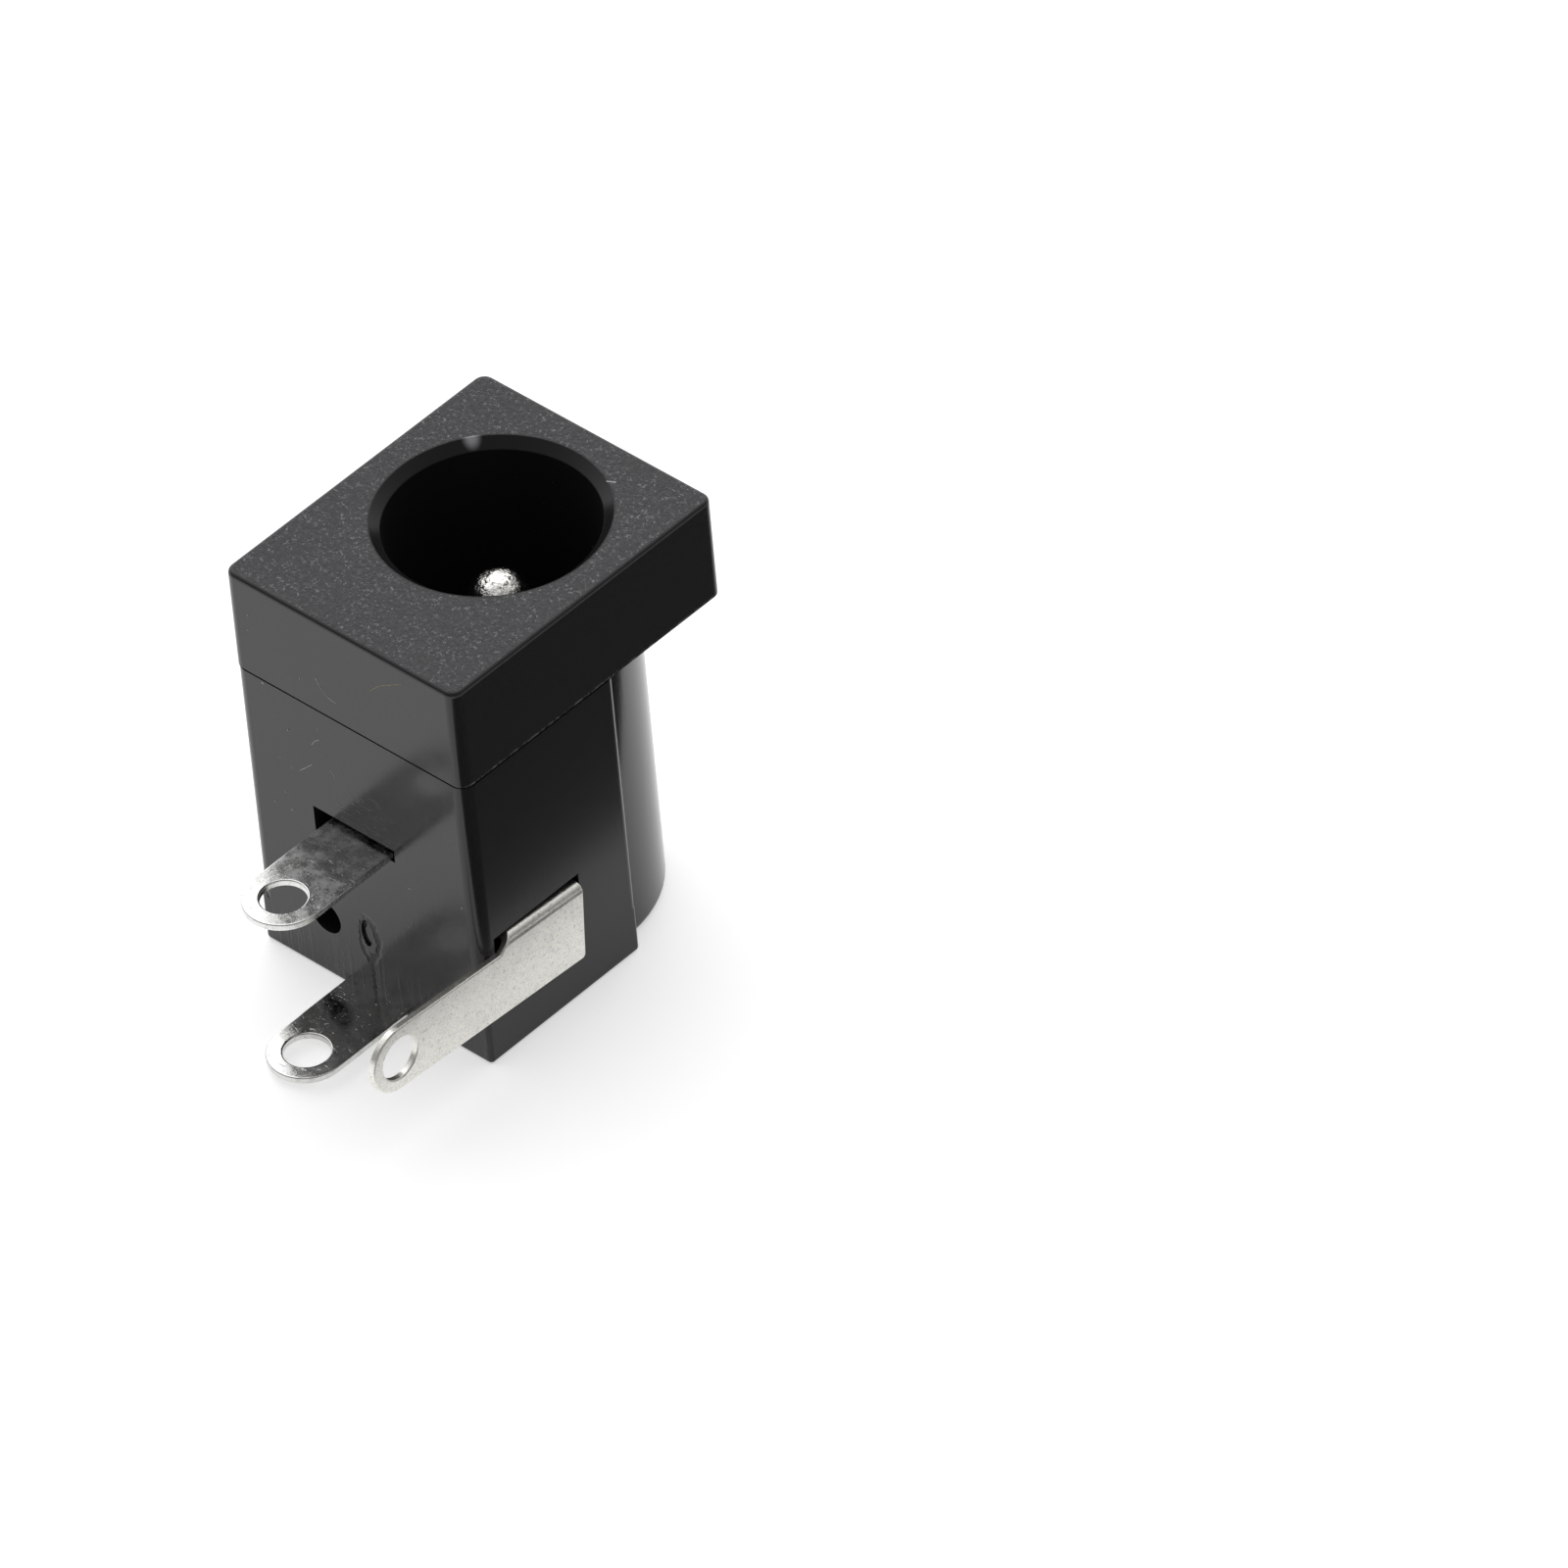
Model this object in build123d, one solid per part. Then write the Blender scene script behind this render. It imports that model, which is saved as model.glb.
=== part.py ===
from build123d import *
from math import atan2, cos
import os

# A dc barrel jack standing on its tail. All sizes are in millimetres.
# The mating axis is x = y = 0 and +Z points out of the mouth. The board face looks to -Y and the
# switch terminal is on the +X side. The functions measure z from the tail, and the pieces are
# saved with z = 0 at the mouth face.

# Housing, outside
WIDTH = 9.0
LENGTH = 14.1
AXIS_HEIGHT = 6.4
FLANGE_RISE = 4.5
FLANGE_DEPTH = 3.55
CHEEK_HEIGHT = 6.3
BARREL_RADIUS = 3.95
BARREL_END_ROUND = 0.3
REAR_BLOCK = 1.72
PANEL_STEP = 0.04
PARTING_GROOVE = 0.06
FLANGE_ROUND = 0.38
MOUTH_ROUND = 0.16
BODY_ROUND = 0.45
CHEEK_ROUND = 0.25
TAIL_ROUND = 0.15

# Socket
BORE_RADIUS = 3.2
REAR_WALL = 2.75
MOUTH_CHAMFER = 0.3
PLUG_RADIUS = 2.75

# Centre pin
PIN_RADIUS = 1.0
PIN_SETBACK = 2.2
COLLAR_RADIUS = 1.7
COLLAR_THICKNESS = 0.7
SHANK_RADIUS = 0.75
RIVET_RADIUS = 1.1
RIVET_HEIGHT = 0.15

# Sheet metal of the three terminals
SHEET = 0.2
BEND_RADIUS = 0.1
FOLD_RADIUS = 0.3
HOLE_RADIUS = 0.7
STAMPED_ROUND = 0.05

# Pin terminal, a strip riveted in the tail recess
TAIL_RECESS = 0.45
RECESS_WIDTH = 2.8
PIN_TAB_SIDE = 0.15
PIN_TAB_WIDTH = 2.4
PIN_TAB_DROP = 3.12

# Sleeve terminal, a folded leaf with its tab through the board face
LEAF_WIDTH = 2.45
LEAF_TAB_FACE = 6.35
LEAF_TAB_DROP = 3.2
LEAF_FOLD = 9.2
LEAF_END = 3.85
FLOOR_WALL = 1.0
NOSE_SETBACK = 2.3
NOSE_PRESS = 0.2
NOSE_ROUND = 0.6
TAB_SLOT_WIDTH = 3.17
TAB_SLOT_SIDE = 0.12
TAB_SLOT_ABOVE = 0.2
TAB_NOTCH_HEIGHT = 0.92

# Switch terminal, a plate on the side with an arm across the free end of the leaf
PLATE_HIGH = 4.05
PLATE_LOW = 1.1
PLATE_CORNER = 0.15
STEP_RUN = 0.5
PLATE_FRONT = 4.3
PLATE_REAR = 1.62
SWITCH_TAB_WIDTH = 2.2
SWITCH_TAB_DROP = 3.65
SWITCH_TILT = 3.5
ARM_WIDTH = 0.9
ARM_REACH = 5.4
LIP_DEPTH = 1.6
SIDE_SLOT_GAP = 0.22
SIDE_SLOT_HEIGHT = 0.87
SIDE_SLOT_LOW = 0.55
SIDE_SLOT_HIGH = 4.1

# Small marks in the housing
PEG_HOLE_RADIUS = 0.57
PEG_HOLE_SIDE = 1.8
PEG_HOLE_PLACE = 2.28
WINDOW_WIDTH = 0.62
WINDOW_LENGTH = 0.7
WINDOW_HEIGHT = 3.9
POCKET_DEPTH = 0.8
GATE_SIDE = 0.17
GATE_PLACE = 2.55
GATE_WIDTH = 0.42
GATE_LENGTH = 1.0
GATE_DEPTH = 0.08

# Fits
SLIP = 0.05
PRESS = 0.01
TOUCH = 0.01

# Places worked out from the sizes above
BOARD_Y = -AXIS_HEIGHT
CHEEK_Y = BOARD_Y + CHEEK_HEIGHT
CHANNEL_Y = BOARD_Y + FLOOR_WALL
SIDE_X = WIDTH / 2
FLANGE_REAR = LENGTH - FLANGE_DEPTH
BORE_FLOOR = TAIL_RECESS + REAR_WALL
STRIP_REAR = TAIL_RECESS - SHEET
BEND_MIDDLE = BEND_RADIUS + SHEET / 2
FOLD_MIDDLE = FOLD_RADIUS + SHEET / 2
NOSE_Z = LEAF_FOLD - NOSE_SETBACK
ARM_Y = BOARD_Y + PLATE_HIGH - ARM_WIDTH


def block(x, y, z):
    """A box between (low, high) pairs."""
    centre = Pos(sum(x) / 2, sum(y) / 2, sum(z) / 2)
    return centre * Box(x[1] - x[0], y[1] - y[0], z[1] - z[0])


def rod(radius, low, high):
    """A cylinder on the mating axis."""
    return Pos(0, 0, (low + high) / 2) * Cylinder(radius, high - low)


def tongue(width, root, hole):
    """A flat tab in the XY plane from y = root down to a round end about its hole."""
    strip = Pos(0, (root + hole) / 2) * Rectangle(width, root - hole)
    end = Pos(0, hole) * Circle(width / 2)
    return strip + end - Pos(0, hole) * Circle(HOLE_RADIUS)


def stamped(outline):
    """A tab in sheet metal, its front edges rolled over except at the root."""
    shape = extrude(outline, SHEET)
    rim = shape.faces().sort_by(Axis.Z)[-1].edges()
    return fillet(rim.sort_by(Axis.Y)[:-1], STAMPED_ROUND)


def flange():
    """The square front of the housing."""
    shape = block((-SIDE_X, SIDE_X), (BOARD_Y, FLANGE_RISE), (FLANGE_REAR, LENGTH))
    shape = fillet(shape.edges().filter_by(Axis.Z), FLANGE_ROUND)
    return fillet(shape.faces().sort_by(Axis.Z)[-1].edges(), MOUTH_ROUND)


def body_block(half_width, board, low, high):
    """A length of the square body, with its four long edges rounded."""
    shape = block((-half_width, half_width), (board, CHEEK_Y), (low, high))
    shape = fillet(shape.edges().filter_by(Axis.Z).group_by(Axis.Y)[0], BODY_ROUND)
    return fillet(shape.edges().filter_by(Axis.Z).group_by(Axis.Y)[-1], CHEEK_ROUND)


def tail_block():
    """The last length of the body, rounded along the board face."""
    half = SIDE_X - PANEL_STEP
    shape = block((-half, half), (BOARD_Y, CHEEK_Y), (0, REAR_BLOCK))
    shape = fillet(shape.edges().filter_by(Axis.Z), TAIL_ROUND)
    return fillet(shape.faces().sort_by(Axis.Z)[0].edges().sort_by(Axis.Y)[0], TAIL_ROUND)


def barrel():
    """The round upper body, rounded at the tail."""
    shape = rod(BARREL_RADIUS, 0, FLANGE_REAR)
    rear = shape.edges().group_by(Axis.Z)[0]
    return fillet(rear, BARREL_END_ROUND)


def outside():
    """The housing without its holes."""
    groove_rear = FLANGE_REAR - PARTING_GROOVE
    body = body_block(SIDE_X, BOARD_Y, REAR_BLOCK, groove_rear)
    neck = body_block(
        SIDE_X - PARTING_GROOVE, BOARD_Y + PARTING_GROOVE, groove_rear, FLANGE_REAR
    )
    return flange() + neck + body + tail_block() + barrel()


def socket():
    """The bore with its chamfered mouth and the hole for the pin's shank."""
    bore = rod(BORE_RADIUS, BORE_FLOOR, LENGTH)
    mouth = Pos(0, 0, LENGTH - MOUTH_CHAMFER / 2) * Cone(
        BORE_RADIUS, BORE_RADIUS + MOUTH_CHAMFER, MOUTH_CHAMFER
    )
    return bore + mouth + rod(SHANK_RADIUS + PRESS, 0, BORE_FLOOR)


def leaf_space():
    """The channel under the bore and the slot in the board face that the tab leaves by."""
    half = LEAF_WIDTH / 2 + SLIP
    side_slot_rear = PLATE_FRONT + SIDE_SLOT_GAP - SIDE_SLOT_HEIGHT
    fold_front = LEAF_FOLD + FOLD_RADIUS + SHEET + SLIP
    channel = block((-half, half), (CHANNEL_Y, 0), (side_slot_rear, fold_front))
    side = LEAF_WIDTH / 2 + TAB_SLOT_SIDE
    front = LEAF_TAB_FACE + TAB_SLOT_ABOVE
    wall = (BOARD_Y, CHANNEL_Y)
    slot = block((side - TAB_SLOT_WIDTH, side), wall, (LEAF_TAB_FACE - SHEET - SLIP, front))
    beside = (side - TAB_SLOT_WIDTH, -LEAF_WIDTH / 2)
    notch = block(beside, wall, (front - TAB_NOTCH_HEIGHT, front))
    return channel + slot + notch


def side_slot():
    """The slot that the switch terminal's lip goes in by."""
    front = PLATE_FRONT + SIDE_SLOT_GAP
    return block(
        (LEAF_WIDTH / 2, SIDE_X),
        (BOARD_Y + SIDE_SLOT_LOW, BOARD_Y + SIDE_SLOT_HIGH),
        (front - SIDE_SLOT_HEIGHT, front),
    )


def tail_recess():
    """The seat of the pin terminal between the two cheeks."""
    sides = (PIN_TAB_SIDE - RECESS_WIDTH / 2, PIN_TAB_SIDE + RECESS_WIDTH / 2)
    return block(sides, (BOARD_Y, RECESS_WIDTH / 2), (0, TAIL_RECESS))


def marks():
    """The peg hole and gate mark in the board face, and the window in the -X side."""
    board = Plane.XZ.offset(-BOARD_Y)
    peg = board * Pos(-PEG_HOLE_SIDE, PEG_HOLE_PLACE) * Circle(PEG_HOLE_RADIUS)
    gate = board * Pos(-GATE_SIDE, GATE_PLACE) * Ellipse(GATE_WIDTH / 2, GATE_LENGTH / 2)
    high = BOARD_Y + WINDOW_HEIGHT + WINDOW_WIDTH / 2
    window = block(
        (-SIDE_X, -SIDE_X + POCKET_DEPTH),
        (high - WINDOW_WIDTH, high),
        (REAR_BLOCK - WINDOW_LENGTH, REAR_BLOCK),
    )
    return extrude(peg, -POCKET_DEPTH) + extrude(gate, -GATE_DEPTH) + window


def housing():
    """The moulded body, one piece."""
    shape = outside() - socket() - leaf_space() - side_slot() - tail_recess()
    return shape - marks()


def centre_pin():
    """The turned pin: rivet head, shank, collar and a round tip."""
    tip = LENGTH - PIN_SETBACK
    collar = BORE_FLOOR + COLLAR_THICKNESS
    shape = rod(RIVET_RADIUS, STRIP_REAR - RIVET_HEIGHT, STRIP_REAR)
    shape += rod(SHANK_RADIUS, STRIP_REAR, BORE_FLOOR)
    shape += rod(COLLAR_RADIUS, BORE_FLOOR, collar)
    shape += rod(PIN_RADIUS, collar, tip - PIN_RADIUS)
    return shape + Pos(0, 0, tip - PIN_RADIUS) * Sphere(PIN_RADIUS)


def pin_terminal():
    """The flat strip under the rivet head."""
    tab = stamped(tongue(PIN_TAB_WIDTH, 0, BOARD_Y - PIN_TAB_DROP))
    disc = extrude(Circle(PIN_TAB_WIDTH / 2), SHEET)
    hole = extrude(Circle(SHANK_RADIUS + PRESS), SHEET)
    return Pos(0, 0, STRIP_REAR) * (Pos(PIN_TAB_SIDE, 0, 0) * tab + disc - hole)


def leaf_line():
    """The middle line of the leaf from the tab's bend to the free end, as (y, z)."""
    floor = CHANNEL_Y + SHEET / 2
    tab = LEAF_TAB_FACE - SHEET / 2
    roof = floor + 2 * FOLD_MIDDLE
    nose = (NOSE_PRESS - PLUG_RADIUS - SHEET / 2, NOSE_Z)
    contact = ARM_Y - TOUCH
    slope = atan2(nose[0] + SHEET / 2 - contact, NOSE_Z - PLATE_FRONT)
    contact -= SHEET / 2 / cos(slope)
    run = (LEAF_END - PLATE_FRONT) / (NOSE_Z - PLATE_FRONT)
    end = (contact + run * (nose[0] - contact), LEAF_END)
    root = (floor - BEND_MIDDLE, tab)
    bend = JernArc(root, tangent=(1, 0), radius=BEND_MIDDLE, arc_size=90)
    base = Line(bend @ 1, (floor, LEAF_FOLD))
    fold = JernArc(base @ 1, tangent=(0, 1), radius=FOLD_MIDDLE, arc_size=-180)
    down = (roof, LEAF_FOLD - FOLD_MIDDLE)
    spring = FilletPolyline(fold @ 1, down, nose, end, radius=NOSE_ROUND)
    return bend + base + fold + spring


def sleeve_terminal():
    """The folded spring leaf and its tab, one stamped piece."""
    leaf = extrude(Plane.YZ * trace(leaf_line(), SHEET), LEAF_WIDTH / 2, both=True)
    root = CHANNEL_Y - BEND_RADIUS
    tab = stamped(tongue(LEAF_WIDTH, root, BOARD_Y - LEAF_TAB_DROP))
    return leaf + Pos(0, 0, LEAF_TAB_FACE - SHEET) * tab


def switch_terminal():
    """The side plate with its tab, its lip bent into the housing and the switch arm."""
    high = BOARD_Y + PLATE_HIGH
    low = BOARD_Y + PLATE_LOW - STEP_RUN
    tab_front = PLATE_REAR + SWITCH_TAB_WIDTH
    middle = PLATE_FRONT - SHEET / 2
    lip_end = SIDE_X - LIP_DEPTH
    bent = FilletPolyline(
        (SIDE_X + SHEET / 2, PLATE_REAR),
        (SIDE_X + SHEET / 2, middle),
        (lip_end, middle),
        radius=BEND_MIDDLE,
    )
    shape = Pos(0, high, 0) * extrude(Plane.XZ * trace(bent, SHEET), high - low)
    rear = shape.edges().filter_by(Axis.X).group_by(Axis.Z)[0]
    shape = fillet(rear.sort_by(Axis.Y)[-1], PLATE_CORNER)
    slant = Polyline(
        (low, tab_front), (low + STEP_RUN, PLATE_FRONT), (low, PLATE_FRONT), close=True
    )
    shape -= extrude(Plane.YZ * make_face(slant), WIDTH)
    rim = shape.faces().filter_by(Axis.X).sort_by(Axis.X)[-1].edges()
    shape = fillet(rim.sort_by(Axis.Z)[:-1].sort_by(Axis.Y)[1:], STAMPED_ROUND)
    arm = (PLATE_FRONT - SHEET, PLATE_FRONT)
    shape += block((SIDE_X - ARM_REACH, lip_end), (ARM_Y, high), arm)
    tab_middle = PLATE_REAR + SWITCH_TAB_WIDTH / 2
    inner = Plane((SIDE_X, 0, tab_middle), x_dir=(0, 0, -1), z_dir=(1, 0, 0))
    tab = stamped(tongue(SWITCH_TAB_WIDTH, low, BOARD_Y - SWITCH_TAB_DROP))
    shape += inner.location * tab
    pivot = Pos(0, ARM_Y, PLATE_FRONT - SHEET)
    return pivot * Rot(-SWITCH_TILT, 0, 0) * pivot.inverse() * shape


def save():
    """Each piece in its own file."""
    os.makedirs("parts", exist_ok=True)
    for make in (housing, centre_pin, pin_terminal, sleeve_terminal, switch_terminal):
        export_step(Pos(0, 0, -LENGTH) * make(), f"parts/{make.__name__}.step")


save()
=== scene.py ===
import random
from types import SimpleNamespace

import bmesh
import bpy
from mathutils import Matrix, Vector


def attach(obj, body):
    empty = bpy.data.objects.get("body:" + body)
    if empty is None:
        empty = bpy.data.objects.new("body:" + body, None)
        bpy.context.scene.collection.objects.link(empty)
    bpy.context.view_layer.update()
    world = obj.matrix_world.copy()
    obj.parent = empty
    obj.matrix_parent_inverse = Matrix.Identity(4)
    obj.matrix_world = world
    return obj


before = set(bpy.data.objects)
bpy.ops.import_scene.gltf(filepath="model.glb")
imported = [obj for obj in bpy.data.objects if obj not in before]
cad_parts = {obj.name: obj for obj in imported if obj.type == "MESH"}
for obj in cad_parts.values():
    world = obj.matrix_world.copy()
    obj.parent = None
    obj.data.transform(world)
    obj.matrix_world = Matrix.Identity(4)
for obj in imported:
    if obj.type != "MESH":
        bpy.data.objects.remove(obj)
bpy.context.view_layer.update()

MM = 0.001

# The housing in the row frame, in millimetres: z = 0 is the mouth face, -Y the board face
# and +X the side of the switch terminal
FLOOR_Z = -14.1
BOARD_Y = -6.4
SIDE_X = 4.5
BORE_RADIUS = 3.2
CHAMFER_RADIUS = 3.5
CHAMFER_DEPTH = 0.3

# Marks on the board face: points are (x, z), in millimetres
GATE = (-0.08, -11.75)
GATE_HALF = (0.42, 0.85)
FLOW_LINE = ((0.1, -12.3), (0.12, -13.6))
SCRATCHED = (0.4, -7.1)
WORN_FROM_Z = -11.4
WORN_MOST_Z = -13.4

# Marks on the mouth and a painted highlight on its chamfer: points are (x, y), and a stretch
# of fibre is its ends and its width
MOUTH_FIBRE = [((1.24, 2.98), (1.59, 3.09), 0.035), ((1.59, 3.09), (1.84, 3.23), 0.03)]
# a painted highlight on the chamfer
GLINT = (-2.77, 2.15)

# Where the seam crosses the +X side, in millimetres; the ragged pale line along it is a
# painted highlight
SEAM_Z = -3.52

# Colours of the plastic and of what lies on it
BLACK = (0.0115, 0.0115, 0.0120, 1)
MOUTH_BLACK = (0.0210, 0.0217, 0.0250, 1)
SIDE_BLACK = (0.0150, 0.0150, 0.0156, 1)
CRYSTAL = (0.20, 0.205, 0.22, 1)
DUST = (0.30, 0.30, 0.28, 1)
# the lint fibre on the mouth, and the painted highlight on the chamfer
FIBRE_AND_HIGHLIGHT = (0.50, 0.50, 0.52, 1)

# Colours of the metals
# painted dark reflection, laid on the tin in blotches
TIN_DARK_REFLECTION = (0.36, 0.35, 0.33, 1)
TIN_PIT = (0.38, 0.36, 0.30, 1)
NICKEL_LIGHT = (0.84, 0.83, 0.81, 1)
NICKEL_DARK = (0.66, 0.64, 0.61, 1)

# Lint on the board face: each fibre is its points (x, z), in millimetres
LINT_RADIUS = 0.012
LINT = {
    "pale": [
        [(-1.11, -2.26), (-1.02, -2.51), (-0.82, -2.74), (-0.56, -2.86), (-0.33, -2.84)],
        [(-1.59, -5.1), (-1.49, -4.89), (-1.24, -4.72)],
        [(-2.21, -6.41), (-1.95, -6.19), (-1.65, -5.87)],
        [(-0.93, -5.67), (-0.83, -5.8), (-0.77, -5.95)],
    ],
    "brown": [
        [(1.11, -1.57), (1.37, -1.28), (1.83, -0.96), (2.43, -0.63)],
    ],
}
LINT_COLOUR = {"pale": (0.42, 0.42, 0.40, 1), "brown": (0.30, 0.24, 0.11, 1)}

# Crumbs of dust on the board face: (x, z, radius), in millimetres
CRUMBS = [
    (-3.64, -1.29, 0.035), (-3.71, -1.89, 0.03), (-1.77, -2.66, 0.03), (-3.35, -3.7, 0.04),
    (-2.51, -5.04, 0.035), (-2.89, -7.61, 0.03), (-3.39, -8.22, 0.04), (-2.73, -8.2, 0.03),
    (3.9, -8.32, 0.035), (1.83, -8.72, 0.03),
]
# A crumb's widths and height and its unevenness, as shares of its radius
CRUMB_WIDTHS = (0.7, 1.4)
CRUMB_HEIGHT = 0.6
CRUMB_UNEVEN = 0.2

# The studio: sheets by two corners (x, y), in millimetres, and the lamp in metres and watts
FLOOR_CORNERS = ((-1500, -1500), (1500, 1500))
FLOOR_GREY = 0.80
FLOOR_GLOW = 0.50
# the black card is a painted dark reflection: only reflections see it
CARD_CORNERS = ((8.3, -20), (30, 30))
CARD_Z = FLOOR_Z + 0.3
TENT_DIM = 0.22
TENT_BRIGHT = 1.1
LIGHT_FROM = Vector((-0.52, 0.42, 0.74)).normalized()
LAMP_DISTANCE = 0.45
LAMP_SIZE = 0.5
LAMP_POWER = 0.7

# The camera of the photograph, its place in millimetres
CAMERA_PLACE = (307.66, -288.71, 363.28)
CAMERA_RIGHT = (0.73835, 0.67086, -0.06925)
CAMERA_DOWN = (0.40925, -0.52729, -0.74463)
CAMERA_LENS = 450
SENSOR = 36

# Noise is moved by this, because it goes flat on the planes of its own lattice
OFF_LATTICE = (0.317, 0.229, 0.171)


class Nodes:
    """The node tree of one material or world, built by short calls."""

    def __init__(self, owner):
        owner.use_nodes = True
        self.tree = owner.node_tree
        self.tree.nodes.clear()

    def link(self, socket, value):
        """Gives a socket another node's output, or a value of its own."""
        if isinstance(value, bpy.types.NodeSocket):
            self.tree.links.new(value, socket)
        else:
            socket.default_value = value

    def node(self, kind, inputs=None, **settings):
        """A node with its settings and inputs, each a value or another node's output."""
        node = self.tree.nodes.new("ShaderNode" + kind)
        for key, value in settings.items():
            setattr(node, key, value)
        for key, value in (inputs or {}).items():
            self.link(node.inputs[key], value)
        return node

    def add(self, kind, inputs=None, output=0, **settings):
        """One output of such a node."""
        return self.node(kind, inputs, **settings).outputs[output]

    def math(self, operation, *values, clamp=False):
        inputs = dict(enumerate(values))
        return self.add("Math", inputs, operation=operation, use_clamp=clamp)

    def times(self, a, b):
        return self.math("MULTIPLY", a, b)

    def larger(self, a, b):
        return self.math("MAXIMUM", a, b)

    def apart(self, a, b):
        """How far apart two values are."""
        return self.math("ABSOLUTE", self.math("SUBTRACT", a, b))

    def weighted(self, *parts, start=0.0):
        """start plus each value times its factor."""
        total = start
        for value, factor in parts:
            total = self.math("MULTIPLY_ADD", value, factor, total)
        return total

    def ramp(self, value, low, high, out_low=0.0, out_high=1.0):
        """value taken smoothly from low..high to out_low..out_high."""
        return self.add(
            "MapRange",
            {"Value": value, 1: low, 2: high, 3: out_low, 4: out_high},
            interpolation_type="SMOOTHSTEP",
        )

    def mix(self, factor, a, b):
        """A blend of two colours."""
        return self.add("Mix", {0: factor, 6: a, 7: b}, 2, data_type="RGBA")

    def moved(self, place, offset):
        return self.add("VectorMath", {0: place, 1: offset}, operation="ADD")

    def stretched(self, place, factors):
        """place scaled on each axis."""
        return self.add("VectorMath", {0: place, 1: factors}, operation="MULTIPLY")

    def noise(self, place, scale, detail=2.0, roughness=0.5):
        inputs = {"Scale": scale, "Detail": detail, "Roughness": roughness}
        return self.add("TexNoise", {"Vector": self.moved(place, OFF_LATTICE), **inputs})

    def streaks(self, place, scales, detail, roughness):
        """Noise with a scale of its own on each axis."""
        return self.noise(self.stretched(place, scales), 1.0, detail, roughness)

    def length(self, a, b):
        """The length of the vector (a, b)."""
        return self.math("SQRT", self.weighted((a, a), start=self.times(b, b)))

    def offset(self, across, along, point):
        """Two coordinates measured from a point on their plane."""
        return (
            self.math("SUBTRACT", across, point[0]),
            self.math("SUBTRACT", along, point[1]),
        )

    def place(self):
        """The point in the row frame, in millimetres."""
        metres = self.add("TexCoord", output=3)
        return self.stretched(metres, (1 / MM, 1 / MM, 1 / MM))

    def axes(self, vector):
        """The three parts of a vector."""
        return self.node("SeparateXYZ", {0: vector}).outputs

    def bump(self, height, depth_mm, strength=1.0, normal=None):
        inputs = {"Height": height, "Strength": strength, "Distance": depth_mm * MM}
        if normal is not None:
            inputs["Normal"] = normal
        return self.add("Bump", inputs)

    def surface(self, **inputs):
        """The principled shader with these inputs, as the material's surface."""
        named = {key.replace("_", " "): value for key, value in inputs.items()}
        self.node("OutputMaterial", {"Surface": self.add("BsdfPrincipled", named)})


def grey(value):
    return (value, value, value, 1)


def specks(n, place, scale, size, share, seed):
    """Small round specks, one in each of some cells."""
    cell = n.node("TexVoronoi", {"Vector": n.moved(place, (seed,) * 3), "Scale": scale})
    chosen = n.math("LESS_THAN", n.axes(cell.outputs["Color"])[0], share)
    return n.times(chosen, n.ramp(cell.outputs["Distance"], size, size * 0.5))


def segment(n, across, along, start, end, width):
    """A thin mark from start to end on the plane of the two coordinates."""
    run = Vector(end) - Vector(start)
    from_start = n.offset(across, along, start)
    reach = n.times(from_start[0], run.x / run.length_squared)
    reach = n.math(
        "MULTIPLY_ADD", from_start[1], run.y / run.length_squared, reach, clamp=True
    )
    left = n.weighted((reach, -run.x), start=from_start[0])
    up = n.weighted((reach, -run.y), start=from_start[1])
    return n.ramp(n.length(left, up), width, width * 0.4)


def housing_faces(n, x, y, z):
    """Masks of the housing's surface, each 1 on one part of it and 0 elsewhere."""
    normal = n.axes(n.add("NewGeometry", output=1))
    radius = n.length(x, y)
    bore = n.ramp(radius, BORE_RADIUS + 0.02, BORE_RADIUS + 0.01)
    near_mouth = n.times(
        n.ramp(radius, CHAMFER_RADIUS + 0.08, CHAMFER_RADIUS),
        n.ramp(z, -CHAMFER_DEPTH - 0.06, -CHAMFER_DEPTH),
    )
    return SimpleNamespace(
        mouth=n.times(n.ramp(normal[2], 0.9, 0.99), n.ramp(z, -0.12, -0.04)),
        board=n.ramp(normal[1], -0.6, -0.95),
        side=n.times(n.ramp(normal[0], 0.6, 0.95), n.ramp(x, SIDE_X - 0.3, SIDE_X - 0.1)),
        bore=bore,
        chamfer=n.math("SUBTRACT", near_mouth, bore, clamp=True),
    )


def gate_scar(n, place, x, z, ragged):
    """The swirl where the moulding's gate was cut off, with the flow line below it."""
    swirl = n.length(
        n.weighted((x, 1 / GATE_HALF[0]), start=-GATE[0] / GATE_HALF[0]),
        n.weighted((z, 1 / GATE_HALF[1]), start=-GATE[1] / GATE_HALF[1]),
    )
    swirl = n.weighted((n.noise(place, 2.6, detail=3.0, roughness=0.6), 0.9), start=swirl)
    ring = n.ramp(n.apart(swirl, 1.3), 0.3, 0.05)
    wavy_x = n.weighted((ragged, 0.3), start=x)
    return n.larger(ring, segment(n, wavy_x, z, *FLOW_LINE, width=0.1))


def board_wear(n, place, x, z):
    """Streaks near the tail, and a scratched patch near the front tab."""
    streak = n.streaks(place, (5.0, 5.0, 0.45), detail=4.0, roughness=0.7)
    near_tail = n.ramp(z, WORN_FROM_Z, WORN_MOST_Z, 0.0, 0.65)
    scratch = n.streaks(place, (1.4, 3.0, 8.0), detail=5.0, roughness=0.75)
    patch = n.ramp(n.length(*n.offset(x, z, SCRATCHED)), 1.6, 0.4)
    return n.larger(
        n.times(n.ramp(streak, 0.5, 0.68), near_tail),
        n.times(n.ramp(scratch, 0.56, 0.64), patch),
    )


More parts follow.
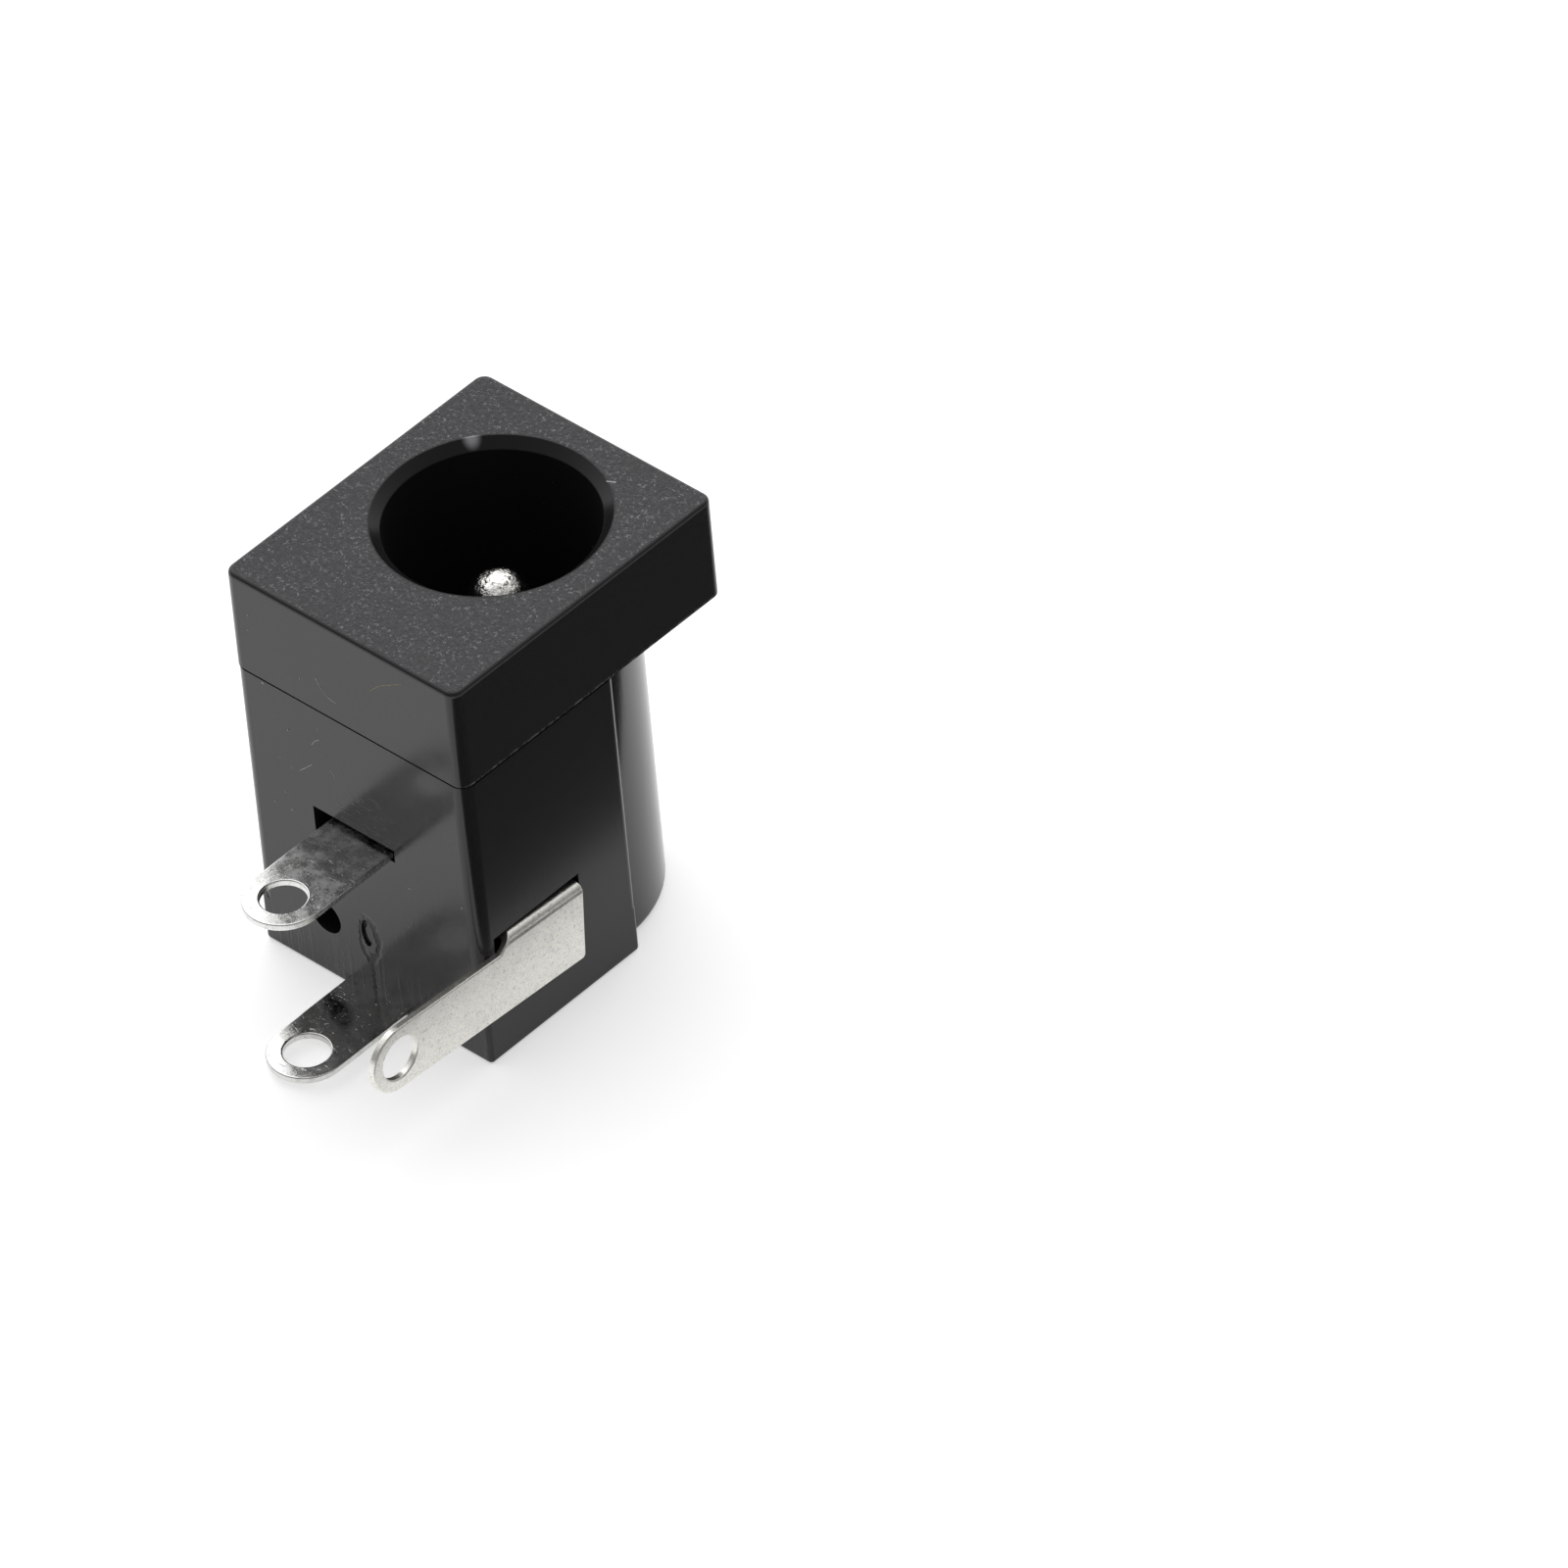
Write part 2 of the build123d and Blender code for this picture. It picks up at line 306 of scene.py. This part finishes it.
def plastic():
    """Black moulded plastic: a grained mouth face, glossy sides, a scuffed board face and
    painted highlights.
    """
    material = bpy.data.materials.new("black_moulding")
    n = Nodes(material)
    place = n.place()
    x, y, z = n.axes(place)[:]
    on = housing_faces(n, x, y, z)

    grain = n.noise(place, 7.0, detail=5.0, roughness=0.75)
    pits = n.noise(place, 16.0, roughness=0.6)
    crystals = n.ramp(n.noise(place, 9.3, detail=3.0, roughness=0.8), 0.57, 0.66)
    drawn = n.streaks(place, (9.0, 9.0, 0.5), detail=3.0, roughness=0.6)
    fine = n.noise(place, 11.3)
    cloud = n.noise(place, 0.7, detail=3.0, roughness=0.6)
    ragged = n.noise(place, 5.0, detail=3.0, roughness=0.7)

    scar = n.times(gate_scar(n, place, x, z, ragged), on.board)
    scuff = n.times(board_wear(n, place, x, z), on.board)
    # a painted highlight: a ragged pale line along the seam on the +X side
    seam_highlight = n.times(n.ramp(n.apart(z, SEAM_Z), 0.07, 0.02), on.side)
    seam_highlight = n.times(seam_highlight, n.ramp(ragged, 0.42, 0.6))
    fibre = n.larger(*[segment(n, x, y, *stretch) for stretch in MOUTH_FIBRE])
    # a painted highlight on the chamfer
    glint = n.times(n.ramp(n.length(*n.offset(x, y, GLINT)), 0.34, 0.05), 0.75)
    fibre_and_highlight = n.larger(n.times(fibre, on.mouth), n.times(glint, on.chamfer))
    dust = specks(n, place, scale=2.4, size=0.09, share=0.10, seed=3.0)
    fluff = specks(n, place, scale=5.5, size=0.10, share=0.08, seed=11.0)
    dirt = n.times(n.larger(dust, fluff), n.larger(on.mouth, on.board))

    colour = BLACK
    for mask, layer in (
        (on.mouth, MOUTH_BLACK),
        (n.times(on.mouth, n.ramp(grain, 0.45, 0.6, 0.0, 0.5)), grey(0.06)),
        (n.times(on.mouth, crystals), CRYSTAL),
        (n.times(on.board, n.ramp(cloud, 0.35, 0.7, 0.0, 0.08)), grey(0.07)),
        (on.side, SIDE_BLACK),
        (n.larger(on.bore, on.chamfer), grey(0.014)),
        (n.times(scuff, 0.5), grey(0.06)),
        # the painted highlight along the seam
        (seam_highlight, grey(0.10)),
        (n.times(dirt, 0.5), DUST),
        # the lint fibre, and the painted highlight on the chamfer
        (fibre_and_highlight, FIBRE_AND_HIGHLIGHT),
    ):
        colour = n.mix(mask, colour, layer)

    rough = n.weighted(
        (n.ramp(cloud, 0.3, 0.7, 0.0, 0.06), on.board),
        (on.mouth, 0.36),
        (on.side, 0.10),
        (n.larger(dirt, scuff), 0.25),
        (scar, 0.3),
        (on.bore, 0.35),
        start=0.15,
    )
    gloss = n.weighted(
        (on.board, -0.07), (on.chamfer, -0.22), (on.side, -0.15), (on.bore, -0.4), start=0.5
    )

    rise = n.weighted((pits, 0.6), start=grain)
    bumped = n.bump(rise, depth_mm=0.07, strength=n.times(on.mouth, 0.9))
    rise = n.weighted((drawn, 0.5), (fine, 0.3))
    off_mouth = n.math("SUBTRACT", 1.0, on.mouth)
    bumped = n.bump(rise, depth_mm=0.003, strength=off_mouth, normal=bumped)
    rise = n.weighted((scar, -1.0), (scuff, 0.3))
    bumped = n.bump(rise, depth_mm=0.026, normal=bumped)
    n.surface(Base_Color=colour, Roughness=rough, Normal=bumped, Specular_IOR_Level=gloss)
    return material


def tinned(name, tint, seed, smoothest, haze, dark_reflection):
    """Tin plate on stamped brass sheet: rolled, scratched and hazy in places, with blotches
    of painted dark reflection.

    smoothest is the least roughness, haze what its clouds add to that, and dark_reflection
    how much the blotches of painted dark reflection show.
    """
    material = bpy.data.materials.new(name)
    n = Nodes(material)
    place = n.moved(n.place(), (seed,) * 3)
    cloud = n.noise(place, 2.1, detail=6.0, roughness=0.75)
    # where the painted dark reflection lies
    dark_reflection_blotch = n.ramp(n.noise(place, 1.0, detail=4.0, roughness=0.6), 0.48, 0.6)
    rolled = n.streaks(place, (14.0, 1.6, 14.0), detail=4.0, roughness=0.6)
    bent = n.moved(place, n.noise(place, 0.8))
    scuff = n.streaks(bent, (2.0, 11.0, 11.0), detail=5.0, roughness=0.75)
    cross = n.streaks(bent, (9.0, 1.8, 9.0), detail=5.0, roughness=0.75)
    scratch = n.larger(n.ramp(scuff, 0.62, 0.68), n.ramp(cross, 0.64, 0.70))
    fine = n.noise(place, 20.0, detail=3.0, roughness=0.6)
    pits = n.ramp(n.noise(place, 7.0, detail=3.0, roughness=0.8), 0.56, 0.66)

    colour = n.mix(n.ramp(fine, 0.35, 0.7), tint, grey(0.72))
    # painted dark reflection in blotches
    colour = n.mix(n.times(dark_reflection_blotch, dark_reflection), colour, TIN_DARK_REFLECTION)
    colour = n.mix(n.times(pits, 0.5), colour, TIN_PIT)
    rough = n.ramp(cloud, 0.3, 0.75, smoothest, smoothest + haze)
    rough = n.weighted((scratch, 0.22), start=rough)
    rise = n.weighted((rolled, 0.4), (fine, 0.25), (scratch, -0.6))
    bumped = n.bump(rise, depth_mm=0.004)
    n.surface(Base_Color=colour, Metallic=1.0, Roughness=rough, Normal=bumped)
    return material


def nickel():
    """Bright plate on a turned pin, with turning lines, a hammered tip and dark patches."""
    material = bpy.data.materials.new("pin_nickel")
    n = Nodes(material)
    place = n.place()
    turned = n.streaks(place, (0.4, 0.4, 16.0), detail=3.0, roughness=0.6)
    hammered = n.noise(place, 3.6, detail=4.0, roughness=0.7)
    # dark patches where the noise is low
    dark_patches = n.ramp(n.noise(place, 5.0, detail=4.0, roughness=0.75), 0.44, 0.39)
    colour = n.mix(n.ramp(hammered, 0.35, 0.65), NICKEL_LIGHT, NICKEL_DARK)
    colour = n.mix(dark_patches, colour, grey(0.08))
    rough = n.ramp(hammered, 0.3, 0.7, 0.03, 0.10)
    bumped = n.bump(n.weighted((turned, 0.06), start=hammered), depth_mm=0.05)
    n.surface(Base_Color=colour, Metallic=1.0, Roughness=rough, Normal=bumped)
    return material


def dress(node, material):
    """Gives a CAD node its material."""
    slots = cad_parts[node].data.materials
    slots.clear()
    slots.append(material)


def new_object(name, data):
    """An object of the scene with this data."""
    made = bpy.data.objects.new(name, data)
    bpy.context.scene.collection.objects.link(made)
    return made


def on_board(x, z):
    """A point of the board face, in metres."""
    return Vector((x, BOARD_Y, z)) * MM


def lint(name, fibres, colour):
    """Loose fibres that lie on the plastic, as one piece."""
    curve = bpy.data.curves.new(name, "CURVE")
    curve.dimensions = "3D"
    curve.bevel_depth = LINT_RADIUS * MM
    curve.bevel_resolution = 2
    for fibre in fibres:
        spline = curve.splines.new("NURBS")
        spline.points.add(len(fibre) - 1)
        for point, (x, z) in zip(spline.points, fibre):
            point.co = (*on_board(x, z), 1)
        spline.order_u = 3
        spline.use_endpoint_u = True
    piece = new_object(name, curve)
    material = bpy.data.materials.new(name)
    n = Nodes(material)
    fuzz = n.noise(n.place(), 12.0)
    shade = n.mix(n.ramp(fuzz, 0.3, 0.7, 0.0, 0.3), colour, grey(0.5))
    n.surface(Base_Color=shade, Roughness=0.8)
    curve.materials.append(material)
    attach(piece, "root")


def crumbs():
    """Uneven grains of dust that lie on the plastic, as one piece."""
    draw = random.Random(7)
    shape = bmesh.new()
    for x, z, size in CRUMBS:
        radius = size * MM
        wide = draw.uniform(*CRUMB_WIDTHS)
        deep = draw.uniform(*CRUMB_WIDTHS)
        made = bmesh.ops.create_icosphere(
            shape,
            subdivisions=2,
            radius=radius,
            matrix=Matrix.Translation(on_board(x, z))
            @ Matrix.Diagonal((wide, CRUMB_HEIGHT, deep, 1)),
        )
        for vert in made["verts"]:
            shift = [draw.uniform(-CRUMB_UNEVEN, CRUMB_UNEVEN) * radius for _ in range(3)]
            vert.co += Vector(shift)
    mesh = bpy.data.meshes.new("lint_crumbs")
    shape.to_mesh(mesh)
    shape.free()
    piece = new_object("lint_crumbs", mesh)
    mesh.materials.append(bpy.data.materials["lint_pale"])
    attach(piece, "root")


def level_sheet(name, corners, height):
    """A level rectangle between two corners, and the nodes of its new material."""
    (left, front), (right, back) = corners
    outline = [(left, front), (right, front), (right, back), (left, back)]
    mesh = bpy.data.meshes.new(name)
    mesh.from_pydata([(x * MM, y * MM, height * MM) for x, y in outline], [], [(0, 1, 2, 3)])
    material = bpy.data.materials.new(name)
    mesh.materials.append(material)
    return new_object(name, mesh), Nodes(material)


def floor():
    """A plain pale floor, near white to the camera, that catches the object's shadow."""
    plane, n = level_sheet("floor", FLOOR_CORNERS, FLOOR_Z)
    path = n.node("LightPath").outputs
    seen = n.larger(path["Is Camera Ray"], path["Is Glossy Ray"])
    seen = n.larger(seen, path["Is Transmission Ray"])
    paper = n.add("BsdfDiffuse", {"Color": grey(FLOOR_GREY)})
    glow = n.add("Emission", {"Color": grey(1.0), "Strength": n.times(seen, FLOOR_GLOW)})
    n.node("OutputMaterial", {"Surface": n.add("AddShader", {0: paper, 1: glow})})


def dark_reflection_card():
    """A black sheet that lies to the right of the jack and shows in reflections alone: a
    painted dark reflection.
    """
    sheet, n = level_sheet("dark_reflection_card", CARD_CORNERS, CARD_Z)
    fibre = n.noise(n.place(), 0.8, detail=3.0)
    shade = n.mix(n.ramp(fibre, 0.3, 0.7), grey(0.02), grey(0.035))
    n.surface(Base_Color=shade, Roughness=0.9)
    # a painted dark reflection: only glossy rays see the sheet
    sheet.visible_camera = False
    sheet.visible_diffuse = False
    sheet.visible_shadow = False


def studio():
    """A light tent, brightest towards the lamp, which hangs overhead to the back left."""
    world = bpy.data.worlds.new("tent")
    bpy.context.scene.world = world
    n = Nodes(world)
    direction = n.add("TexCoord", output=0)
    towards = n.add(
        "VectorMath", {0: direction, 1: LIGHT_FROM[:]}, output=1, operation="DOT_PRODUCT"
    )
    level = n.ramp(towards, 0.1, 0.9, TENT_DIM, TENT_BRIGHT)
    tent = n.add("Background", {"Color": grey(1.0), "Strength": level})
    n.node("OutputWorld", {"Surface": tent})

    lamp = bpy.data.lights.new("key", "AREA")
    lamp.shape = "DISK"
    lamp.size = LAMP_SIZE
    lamp.energy = LAMP_POWER
    key = new_object("key", lamp)
    key.location = LIGHT_FROM * LAMP_DISTANCE
    key.rotation_mode = "QUATERNION"
    key.rotation_quaternion = LIGHT_FROM.to_track_quat("Z", "Y")


def camera():
    """The photograph's view."""
    lens = bpy.data.cameras.new("camera")
    lens.sensor_width = SENSOR
    lens.lens = CAMERA_LENS
    lens.clip_start = 0.01
    lens.clip_end = 10
    view = new_object("camera", lens)
    right = Vector(CAMERA_RIGHT).normalized()
    up = -Vector(CAMERA_DOWN).normalized()
    turn = Matrix((right, up, right.cross(up))).transposed().to_4x4()
    view.matrix_world = Matrix.Translation(Vector(CAMERA_PLACE) * MM) @ turn
    bpy.context.scene.camera = view


dress("housing", plastic())
dress("centre_pin", nickel())
dress("pin_terminal", tinned(
    "tin_rear_tab", (0.66, 0.66, 0.64, 1), seed=5.0, smoothest=0.10, haze=0.16, dark_reflection=0.4
))
dress("sleeve_terminal", tinned(
    "tin_front_tab", (0.78, 0.78, 0.76, 1), seed=17.0, smoothest=0.17, haze=0.24, dark_reflection=0.1
))
dress("switch_terminal", tinned(
    "tin_side_plate", (0.93, 0.91, 0.83, 1), seed=29.0, smoothest=0.32, haze=0.06, dark_reflection=0.08
))
for kind, fibres in LINT.items():
    lint("lint_" + kind, fibres, LINT_COLOUR[kind])
crumbs()
floor()
dark_reflection_card()
studio()
camera()
bpy.context.scene.view_settings.view_transform = "Standard"
